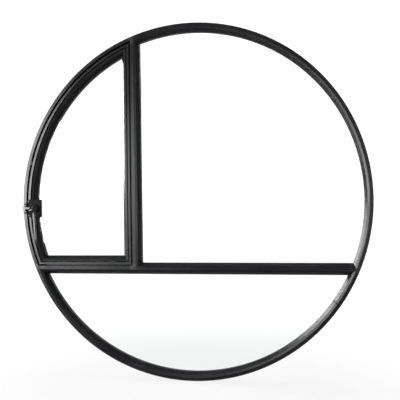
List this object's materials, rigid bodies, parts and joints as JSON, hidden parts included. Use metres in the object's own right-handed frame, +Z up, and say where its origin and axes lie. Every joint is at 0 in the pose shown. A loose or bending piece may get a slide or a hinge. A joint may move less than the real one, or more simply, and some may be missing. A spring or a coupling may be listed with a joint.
{
  "type": "porthole window",
  "caption": "Round black steel window with a large fixed light, a fixed lower light and a side-hung casement with a lever handle.",
  "frame": {"origin": "centre of the ring, in the plane of its room-side face", "axes": "+Z up, +Y from the room to the outside, +X to the right seen from the room"},
  "size_m": [1, 0.0649, 1],
  "materials": {
    "frame_paint": "satin black paint",
    "bead_paint": "satin black paint",
    "glass": "clear",
    "gasket_rubber": "matt black",
    "block_plastic": "plain",
    "pad_plastic": "plain",
    "clip_steel": "blackened",
    "hinge_paint": "satin black paint",
    "pin_steel": "bright",
    "screw_steel": "zinc plated",
    "black_screw": "blackened",
    "handle_paint": "satin black",
    "spindle_steel": "zinc plated"
  },
  "bodies": {
    "frame": {"outer_ring": "frame_paint", "transom": "frame_paint", "mullion": "frame_paint", "upper_transom_bead": "bead_paint", "upper_mullion_bead": "bead_paint", "upper_arc_bead": "bead_paint", "lower_transom_bead": "bead_paint", "lower_arc_bead_long": "bead_paint", "lower_arc_bead_short": "bead_paint", "upper_glass": "glass", "lower_glass": "glass", "upper_gasket": "gasket_rubber", "lower_gasket": "gasket_rubber", "upper_glazing_tape": "gasket_rubber", "lower_glazing_tape": "gasket_rubber", "upper_setting_blocks": "block_plastic", "lower_setting_blocks": "block_plastic", "closing_pad": "pad_plastic", "bead_clips": "clip_steel", "upper_hinge_frame_leaf": "hinge_paint", "lower_hinge_frame_leaf": "hinge_paint", "upper_hinge_pin": "pin_steel", "lower_hinge_pin": "pin_steel", "frame_hinge_screws": "screw_steel", "keeper_screws": "black_screw", "keeper": "handle_paint"},
    "casement": {"casement_stile": "frame_paint", "casement_rail": "frame_paint", "casement_arc": "frame_paint", "casement_rail_bead": "bead_paint", "casement_stile_bead": "bead_paint", "casement_arc_bead": "bead_paint", "casement_glass": "glass", "casement_gasket": "gasket_rubber", "casement_glazing_tape": "gasket_rubber", "casement_setting_blocks": "block_plastic", "casement_bead_clips": "clip_steel", "casement_hinge_screws": "screw_steel", "upper_hinge_casement_leaf": "hinge_paint", "lower_hinge_casement_leaf": "hinge_paint", "handle_plate": "handle_paint", "handle_rose": "handle_paint", "handle_plate_screws": "black_screw"},
    "handle": {"handle_lever": "handle_paint", "handle_spindle": "spindle_steel", "spindle_nut": "spindle_steel"}
  },
  "joints": [
    {"name": "casement_hinge", "type": "hinge", "parent": "frame", "child": "casement", "pos_m": [-0.16, 0.035, 0.1225], "axis": [0, 0, -1], "range_deg": [0, 85]},
    {"name": "handle_turn", "type": "hinge", "parent": "casement", "child": "handle", "pos_m": [-0.459, -0.01, -0.0135], "axis": [0, -1, 0], "range_deg": [-22, 90]}
  ]
}
